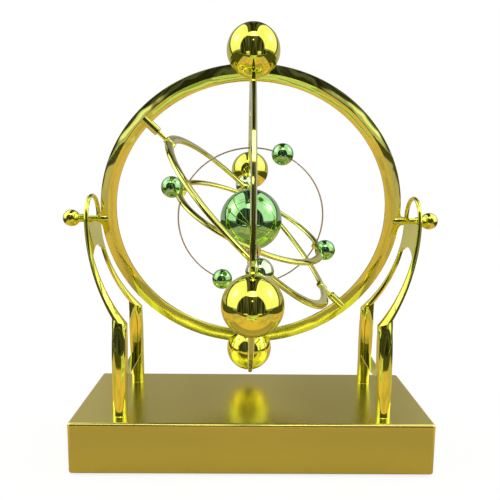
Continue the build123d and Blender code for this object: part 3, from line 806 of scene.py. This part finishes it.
def arm_width_path(share, count):
    """Y and height of a line down the arm, from 0 on its inner edge to 1 on its outer edge."""
    return tangent_arc((HOOP_RADIUS - HOOP_BAR * (1 - share), PIVOT_HEIGHT),
                       (ELBOW_HALF_WIDTH - LEG_SIZE * (1 - share), ELBOW_HEIGHT), count)


def arm_face_path(side, count):
    """X and height of a face of the arm: its inner face is side -1, and its outer face is side 1."""
    return tangent_arc((STAND_OFFSET + side * HEAD_THICKNESS / 2, PIVOT_HEIGHT),
                       (LEG_OFFSET + side * LEG_SIZE / 2, ELBOW_HEIGHT + side * ELBOW_SLOPE), count)


def bar_corners():
    """Corners of the bar's section, as shares of its half width and half depth.
    It has a flat inner and outer face, and a ridge on each side."""
    return ((-BAR_FLAT, -1.0), (BAR_FLAT, -1.0), (1.0, 0.0), (BAR_FLAT, 1.0), (-BAR_FLAT, 1.0), (-1.0, 0.0))


def loft(bm, sections):
    """Bridges a row of sections that have the same count of points, and closes both ends."""
    loops = [outline(bm, points) for points in sections]
    for (_, first), (_, second) in zip(loops, loops[1:]):
        bmesh.ops.bridge_loops(bm, edges=first + second)
    for _, edges in (loops[0], loops[-1]):
        bmesh.ops.contextual_create(bm, geom=edges)
    return loops


def arm_sections():
    """Sections of one arm at even heights, from the elbow up to the pivot."""
    inner_y, outer_y = arm_width_path(0, ARM_STEPS), arm_width_path(1, ARM_STEPS)
    inner_x, outer_x = arm_face_path(-1, ARM_STEPS), arm_face_path(1, ARM_STEPS)
    sections = []
    for index in range(ARM_STEPS + 1):
        share = index / ARM_STEPS
        z = ELBOW_HEIGHT + (PIVOT_HEIGHT - ELBOW_HEIGHT) * share
        slant = ELBOW_SLOPE * (1 - share)
        low, high = across_path(inner_y, z), across_path(outer_y, z)
        inner, outer = across_path(inner_x, z - slant), across_path(outer_x, z + slant)
        centre = Vector(((inner + outer) / 2, (low + high) / 2, z))
        width = Vector((0, (high - low) / 2, 0))
        depth = Vector(((outer - inner) / 2, 0, slant))
        sections.append([centre + width * u + depth * v for u, v in bar_corners()])
    return sections


def hoop_sections():
    """Sections of the hoop over the pivot, from one arm to the other."""
    middle = HOOP_RADIUS - HOOP_BAR / 2
    depth = Vector((HEAD_THICKNESS / 2, 0, 0))
    sections = []
    for index in range(HOOP_STEPS + 1):
        angle = math.pi * index / HOOP_STEPS
        across = Vector((0, math.cos(angle), math.sin(angle)))
        centre = Vector((STAND_OFFSET, 0, PIVOT_HEIGHT + HOOP_RISE)) + across * middle
        sections.append([centre + across * (u * HOOP_BAR / 2) + depth * v for u, v in bar_corners()])
    return sections


def stand_rail(bm):
    """The two arms and the hoop as one bar, made first in an empty mesh."""
    arm = arm_sections()
    other = [[Vector((point.x, -point.y, point.z)) for point in section] for section in reversed(arm)]
    loops = loft(bm, arm + hoop_sections() + other)
    section_edges = {edge for _, edges in loops for edge in edges}
    round_edges(bm, [edge for edge in bm.edges if edge not in section_edges], BAR_CREASE)


def leg_section(z, centre_y, size, hexagon, squareness):
    """Points round a leg: a share of the arm's section and the rest a square with round corners."""
    corner = math.degrees(math.atan2(1.0, BAR_FLAT))
    quarter = [corner * step / CORNER_STEPS for step in range(CORNER_STEPS + 1)] + [(corner + 90) / 2]
    angles = quarter + [180 - degrees for degrees in [90] + quarter[:0:-1]]
    angles = angles + [degrees + 180 for degrees in angles]
    points = []
    for degrees in angles:
        u, v = math.cos(math.radians(degrees)), math.sin(math.radians(degrees))
        flat = 1 / max(abs(v), abs(u) + abs(v) * (1 - BAR_FLAT))
        power = (abs(u) ** squareness + abs(v) ** squareness) ** (-1 / squareness)
        reach = flat * hexagon + power * (1 - hexagon)
        points.append(Vector((LEG_OFFSET + v * reach * size, centre_y + u * reach * size, z)))
    return points


def leg_middle(z):
    """Half the distance between the middles of the two legs at a height."""
    share = (ELBOW_HEIGHT - z) / (ELBOW_HEIGHT - BASE_HEIGHT)
    return ELBOW_HALF_WIDTH + (FOOT_HALF_WIDTH - ELBOW_HALF_WIDTH) * share - LEG_SIZE / 2


def stand_leg(bm, side):
    """A leg that leaves the elbow with the arm's section and is nearly round at its flared foot."""
    half = LEG_SIZE / 2
    sections = []
    for drop, hexagon, squareness, tilt in LEG_ROWS:
        z = ELBOW_HEIGHT - drop
        section = leg_section(z, side * leg_middle(z), half, hexagon, squareness)
        for point in section:
            point.z += tilt * ELBOW_SLOPE * (point.x - LEG_OFFSET) / half
        sections.append(section)
    for height, flare, squareness in FOOT_ROWS:
        z = BASE_HEIGHT + height
        sections.append(leg_section(z, side * leg_middle(z), half + flare, 0.0, squareness))
    loft(bm, sections)


def sheet(bm, place, thickness, rows, columns):
    """A bent plate. Place turns a share across, -1 to 1, and a share along, 0 to 1, into a point."""
    made = bmesh.ops.create_grid(bm, x_segments=columns, y_segments=rows, size=1.0)["verts"]
    for vert in made:
        vert.co = place(vert.co.x, (vert.co.y + 1) / 2)
    faces = list(dict.fromkeys(face for vert in made for face in vert.link_faces))
    bmesh.ops.recalc_face_normals(bm, faces=faces)
    bmesh.ops.solidify(bm, geom=faces, thickness=thickness)


def stand_web(bm):
    """The plate between the arms, just behind their inner faces."""
    middle_path = arm_width_path(0.5, WEB_PATH_STEPS)
    face_path = arm_face_path(-1, WEB_PATH_STEPS)

    def place(across, down):
        low = WEB_LOW + WEB_ARCH * (1 - across * across)
        z = WEB_TOP + (low - WEB_TOP) * down
        x = across_path(face_path, z) + WEB_SETBACK + WEB_THICKNESS
        return Vector((x, across * across_path(middle_path, z), z))

    sheet(bm, place, WEB_THICKNESS, rows=24, columns=32)


def stand_strap(bm):
    """The thin strap that sags a little between the legs."""
    reach = leg_middle(STRAP_HEIGHT) - LEG_SIZE / 4

    def place(across, along):
        z = STRAP_HEIGHT + STRAP_THICKNESS / 2 - STRAP_SAG * (1 - across * across)
        return Vector((LEG_OFFSET + (along - 0.5) * STRAP_WIDTH, across * reach, z))

    sheet(bm, place, STRAP_THICKNESS, rows=3, columns=24)


def stands():
    """The right stand, and the left one as its mirror image."""
    for side, word in ((1, "right"), (-1, "left")):
        bm = bmesh.new()
        stand_rail(bm)
        stand_web(bm)
        stand_strap(bm)
        stand_leg(bm, -1)
        stand_leg(bm, 1)
        bmesh.ops.scale(bm, vec=(side, 1, 1), verts=bm.verts)
        make_piece(word + "_stand_gold", bm, GOLD, "base", word + "_stand", faceted=True)


stands()


# Base

def at_height(items, height):
    """The edges or faces that lie flat at a height."""
    return [item for item in items if all(abs(vert.co.z - height) < ALIKE for vert in item.verts)]


def base():
    """The casing with its rounded edges, open below, and the bosses, socket and posts inside it."""
    bm = bmesh.new()
    bmesh.ops.create_cube(bm, size=1.0)
    bmesh.ops.scale(bm, vec=(BASE_WIDTH, BASE_DEPTH, BASE_HEIGHT - BASE_FLOOR), verts=bm.verts)
    bmesh.ops.translate(bm, vec=(0, 0, (BASE_HEIGHT + BASE_FLOOR) / 2), verts=bm.verts)
    level = at_height(bm.edges, BASE_HEIGHT) + at_height(bm.edges, BASE_FLOOR)
    round_edges(bm, [edge for edge in bm.edges if edge not in level], BASE_CORNER, segments=6)
    round_edges(bm, at_height(bm.edges, BASE_HEIGHT), BASE_EDGE, segments=6)
    round_edges(bm, at_height(bm.edges, BASE_FLOOR), BASE_LOW_EDGE, segments=5)
    bmesh.ops.delete(bm, geom=at_height(bm.faces, BASE_FLOOR), context="FACES_ONLY")
    bmesh.ops.recalc_face_normals(bm, faces=bm.faces)
    bmesh.ops.solidify(bm, geom=bm.faces[:], thickness=BASE_WALL)
    root = BASE_CEILING + TUBE_ROOT
    for y_side in (-1, 1):
        for x_side in (-1, 1):
            turned(bm, tube(BASE_BOSS_RADII, BASE_BOSS_FOOT, root), HUB_STEPS,
                   shift(x_side * BASE_BOSS_X, y_side * BASE_BOSS_Y, 0), closed=True)
        turned(bm, tube(BOARD_POST_RADII, BOARD_POST_FOOT, root), HUB_STEPS,
               shift(BOARD_POST_X, y_side * BOARD_POST_Y, 0), closed=True)
    turned(bm, tube(COIL_SOCKET_RADII, BASE_CEILING - COIL_SOCKET_DEPTH, root), HUB_STEPS, closed=True)
    make_piece("base_satin_gold", bm, BASE_GOLD, "base", "base_shell", faceted=True)


base()


# Studio

# Each pair of values is the span over which a part of the studio fades in or out. In the tent it is
# measured on directions of length one, and on the floor in metres. The spans of the hot spot and the lamp
# are squared distances, and the spans of tones are values of a noise.

SEAM_BACK = 0.27
SEAM_LEAN = 0.65
BOXES_END = (-0.02, 0.02)
BOXES_STRENGTH = 1.15
BACKDROP_START = (0.10, 0.17)
BACKDROP_STRENGTH = 0.36
BACKDROP_MIRRORED = 0.15
GAP_X = -0.03
GAP_TURN = 0.08
GAP_SIDE = (0.235, 0.27)
GAP_FRONT = (-0.43, -0.38)
GAP_FOOT = (0.25, 0.35)
GAP_DIMS_BACKDROP = 0.45
OPENING_TURN = 0.11
OPENING_BACK = (-0.64, -0.59)
OPENING_TOP = (0.695, 0.73)
GROUND = (-0.14, -0.10)
HORIZON_TOP = (-0.05, -0.03)
HORIZON_BACK = (0.1, 0.3)
HORIZON_DEPTH = 0.8
HOT_SPOT_X = 0.80
HOT_SPOT_Z = 0.56
HOT_SPOT_WIDE = (0.0, 0.22)
HOT_SPOT_WIDE_STRENGTH = 0.5
HOT_SPOT_NARROW = (0.0, 0.06)
HOT_SPOT_NARROW_STRENGTH = 3.0
FLAP_FOOT = (0.6, 0.7)
FLAP_WIDE = (0.22, 0.27)
FLAP_WIDE_STRENGTH = 0.7
FLAP_NARROW = (0.05, 0.13)
FLAP_NARROW_STRENGTH = 1.8
STREAK_SCALE = (13.0, 1.0, 0.6)
STREAK_TONES = (0.45, 0.62)
STREAK_STRENGTH = 0.11
FILL_STRENGTH = 0.02
AISLE_INNER = (0.25, 0.30)
AISLE_OUTER = (0.46, 0.54)
AISLE_TOP = (-0.34, -0.24)
AISLE_STRENGTH = 0.55
STRIP_INNER = (0.30, 0.33)
STRIP_OUTER = (0.50, 0.56)
STRIP_FOOT = (-0.37, -0.34)
STRIP_TOP = (-0.28, -0.25)
STRIP_STRENGTH = 0.7
LAMP_X = -0.03
LAMP_Z = 0.49
LAMP_SIZE = (0.0010, 0.0022)
LAMP_BACK = (-0.6, -0.5)
LAMP_STRENGTH = 2.5

FLOOR_HALF_WIDTH = 1.4
FLOOR_HALF_DEPTH = 0.85
FLOOR_MIDDLE = 0.51
FLOOR_GLOW = 1.07
FLOOR_GLOW_SHARE = 0.8
FLOOR_MIRRORED = 0.07
# The painted shadow on the floor in front of the base: how wide it is, how far out it reaches, and where it
# lightens
SHADOW_ZONE_SIDE = (0.11, 0.13)
SHADOW_ZONE_FRONT = (-0.110, -0.094)
SHADOW_ZONE_LIGHTER = (-0.085, -0.045)
WINGS_SIDE = (0.125, 0.16)
WINGS_BACK = (-0.115, -0.085)
WINGS_SHARE = 0.6
DARK_SIDE = (0.255, 0.285)
DARK_CORNER_SIDE = (0.07, 0.09)
DARK_CORNER_BACK = (-0.264, -0.256)
DARK_SHARE = 0.93
PAPER_SIDE = (0.055, 0.060)
PAPER_BACK = (-0.195, -0.190)
STAIN_TONES = (0.44, 0.60)
RIM_X = 0.145
RIM_GAP = (0.05, 0.06)
RIM_BACK = (-0.333, -0.331)
# The painted fold shade on the cloth: its noise tones, the middle strip it keeps off, and how dark it gets
FOLD_SHADE_TONES = (0.42, 0.68)
FOLD_SHADE_SIDE = (0.01, 0.06)
FOLD_SHADE_SHARE = 0.8

# The camera that was fitted to the photograph
FRAME_PIXELS = 500
FOCAL_PIXELS = 524.342
SENSOR_WIDTH = 36.0
NEAREST = 0.01
CAMERA_PLACE = (-4.692, -275.037, 144.315)
CAMERA_RIGHT = (0.99989642, -0.01006315, 0.01028968)
CAMERA_FORWARD = (0.01132776, 0.99127547, -0.13131882)


def sees_white(nodes, share):
    """How white a backdrop looks: 1 to the camera's own rays, a share to rays off metal or through glass."""
    direct = nodes.add("LightPath", output="Is Camera Ray")
    glossy = nodes.add("LightPath", output="Is Glossy Ray")
    through = nodes.add("LightPath", output="Is Transmission Ray")
    return (direct + (glossy + through) * share).clamped()


def studio_world():
    """A white tent: two wide soft boxes that lean over the object, a dark gap between them overhead,
    a dark opening in front with one small lamp in it, and a grey backdrop behind."""
    world = bpy.data.worlds.new("studio")
    world.use_nodes = True
    bpy.context.scene.world = world
    nodes = Nodes(world.node_tree)
    direction = nodes.add("TexCoord", output="Generated")
    x = nodes.axis(direction, "X")
    y = nodes.axis(direction, "Y")
    z = nodes.axis(direction, "Z")
    side = x.size()

    # Soft boxes in front of a leaning seam and the backdrop behind it, both darkened by the gap overhead
    seam = y - SEAM_BACK - SEAM_LEAN * z
    backdrop = nodes.above(seam, BACKDROP_START)
    gap = nodes.below((x - GAP_X - GAP_TURN * y).size(), GAP_SIDE)
    gap = nodes.above(z, GAP_FOOT) * gap * nodes.above(y, GAP_FRONT)
    opening = nodes.below(y + OPENING_TURN * x, OPENING_BACK) * nodes.below(z, OPENING_TOP)
    off_spot = (side - HOT_SPOT_X).squared() + y.squared() + (z - HOT_SPOT_Z).squared()
    wide_glow = nodes.below(off_spot, HOT_SPOT_WIDE) * HOT_SPOT_WIDE_STRENGTH
    glow = wide_glow + nodes.below(off_spot, HOT_SPOT_NARROW) * HOT_SPOT_NARROW_STRENGTH
    wide_flap = nodes.below(side, FLAP_WIDE) * FLAP_WIDE_STRENGTH
    flap = wide_flap + nodes.below(side, FLAP_NARROW) * FLAP_NARROW_STRENGTH
    flap = flap * nodes.above(z, FLAP_FOOT)
    boxes = nodes.below(seam, BOXES_END) * (1 - gap) * (1 - opening) * (BOXES_STRENGTH + glow + flap)
    dim = 1 - gap * GAP_DIMS_BACKDROP
    grey = backdrop * dim * BACKDROP_STRENGTH

    # Streaks all over, a dark horizon, two lit aisles below it and the small lamp
    stretched = nodes.add("Mapping", {}, {"Vector": direction, "Scale": STREAK_SCALE})
    streaks = nodes.above(nodes.noise(stretched, scale=1.0, detail=3.0), STREAK_TONES)
    fill = streaks * STREAK_STRENGTH + FILL_STRENGTH
    horizon = nodes.between(z, GROUND, HORIZON_TOP) * nodes.below(y, HORIZON_BACK)
    aisle = nodes.between(side, AISLE_INNER, AISLE_OUTER) * nodes.below(z, AISLE_TOP)
    strip = nodes.between(side, STRIP_INNER, STRIP_OUTER) * nodes.between(z, STRIP_FOOT, STRIP_TOP)
    low = aisle * AISLE_STRENGTH + strip * STRIP_STRENGTH
    lamp = nodes.below((x - LAMP_X).squared() + (z - LAMP_Z).squared(), LAMP_SIZE)
    lamp = lamp * nodes.below(y, LAMP_BACK) * LAMP_STRENGTH

    ground = nodes.below(z, GROUND)
    strength = (boxes + grey) * (1 - ground) * (1 - horizon * HORIZON_DEPTH) + low * ground + lamp + fill
    tone = nodes.mix(backdrop, colour(0.96, 1.0, 0.95), colour(1.0, 0.90, 0.95))
    studio = nodes.add("Background", {}, {"Color": tone, "Strength": strength})
    plain = nodes.add("Background", {}, {"Color": colour(1, 1, 1), "Strength": 1.0})
    share = sees_white(nodes, backdrop * dim * BACKDROP_MIRRORED)
    shader = nodes.add("MixShader", {}, {0: share, 1: studio, 2: plain})
    nodes.add("OutputWorld", {}, {"Surface": shader})


def cloth_colour(nodes, place, side, y, dark):
    """What metal mirrors of the floor: a pale cloth with painted fold shade and a painted shadow by the
    base, toned by where it lies.
    """
    # Painted shade: darker patches from a noise where folds of the cloth would be shaded, kept off a thin
    # strip down the middle
    painted_fold_shade = nodes.above(nodes.noise(place, scale=16.0, detail=4.0, roughness=0.6), FOLD_SHADE_TONES)
    painted_fold_shade = painted_fold_shade * (nodes.above(side, FOLD_SHADE_SIDE) * FOLD_SHADE_SHARE)
    cloth = nodes.mix(painted_fold_shade, colour(0.94, 0.56, 0.26), colour(0.42, 0.34, 0.17))
    # Painted shadow: a darker brown zone on the floor under and in front of the base, a little lighter close
    # to it
    painted_shadow_zone = nodes.below(side, SHADOW_ZONE_SIDE) * nodes.above(y, SHADOW_ZONE_FRONT)
    painted_shadow_tone = nodes.mix(nodes.above(y, SHADOW_ZONE_LIGHTER), colour(0.42, 0.31, 0.165), colour(0.53, 0.385, 0.185))
    cloth = nodes.mix(painted_shadow_zone, cloth, painted_shadow_tone)
    wings = nodes.above(side, WINGS_SIDE) * nodes.below(y, WINGS_BACK)
    cloth = nodes.mix(wings * WINGS_SHARE, cloth, colour(0.50, 0.45, 0.55))
    cloth = nodes.mix(dark * DARK_SHARE, cloth, colour(0.03, 0.05, 0.02))
    paper = nodes.below(side, PAPER_SIDE) * nodes.below(y, PAPER_BACK)
    stains = nodes.above(nodes.noise(place, scale=34.0, detail=2.0), STAIN_TONES)
    paper_tone = nodes.mix(stains, colour(0.84, 0.92, 0.58), colour(0.28, 0.36, 0.10))
    cloth = nodes.mix(paper, cloth, paper_tone)
    rim = nodes.below(y, RIM_BACK) * nodes.above((side - RIM_X).size(), RIM_GAP)
    return nodes.mix(rim, cloth, colour(0.95, 0.95, 0.90))


def floor_material():
    """White to the camera apart from the shadow, and mostly the cloth to metal."""
    material, nodes = new_material("floor_pale")
    place = nodes.place()
    side = nodes.axis(place, "X").size()
    y = nodes.axis(place, "Y")
    corners = nodes.below(y, DARK_CORNER_BACK) * nodes.above(side, DARK_CORNER_SIDE)
    dark = (nodes.above(side, DARK_SIDE) + corners).clamped()
    matte = nodes.add("BsdfDiffuse", {}, {"Color": cloth_colour(nodes, place, side, y, dark)})
    white = nodes.add("BsdfDiffuse", {}, {"Color": colour(0.9, 0.9, 0.9)})
    glow = nodes.add("Emission", {}, {"Color": colour(1, 1, 1), "Strength": FLOOR_GLOW})
    seen = nodes.add("MixShader", {}, {0: FLOOR_GLOW_SHARE, 1: white, 2: glow})
    share = sees_white(nodes, (1 - dark) * FLOOR_MIRRORED)
    set_surface(nodes, nodes.add("MixShader", {}, {0: share, 1: matte, 2: seen}))
    return material


def floor():
    """A flat floor that reaches far back and ends just behind the camera."""
    bm = bmesh.new()
    bmesh.ops.create_grid(bm, x_segments=1, y_segments=1, size=1.0)
    bmesh.ops.scale(bm, vec=(FLOOR_HALF_WIDTH, FLOOR_HALF_DEPTH, 1.0), verts=bm.verts)
    bmesh.ops.translate(bm, vec=(0, FLOOR_MIDDLE, 0), verts=bm.verts)
    mesh = bpy.data.meshes.new("floor")
    bm.to_mesh(mesh)
    bm.free()
    mesh.materials.append(floor_material())
    plane = bpy.data.objects.new("floor", mesh)
    bpy.context.scene.collection.objects.link(plane)


def camera():
    data = bpy.data.cameras.new("camera")
    data.sensor_width = SENSOR_WIDTH
    data.lens = SENSOR_WIDTH * FOCAL_PIXELS / FRAME_PIXELS
    data.clip_start = NEAREST
    right = Vector(CAMERA_RIGHT)
    forward = Vector(CAMERA_FORWARD)
    place = Matrix((right, right.cross(forward), -forward)).transposed().to_4x4()
    place.translation = Vector(CAMERA_PLACE) * MM
    view = bpy.data.objects.new("camera", data)
    view.matrix_world = place
    bpy.context.scene.collection.objects.link(view)
    bpy.context.scene.camera = view


studio_world()
floor()
camera()
bpy.context.scene.view_settings.view_transform = "Standard"
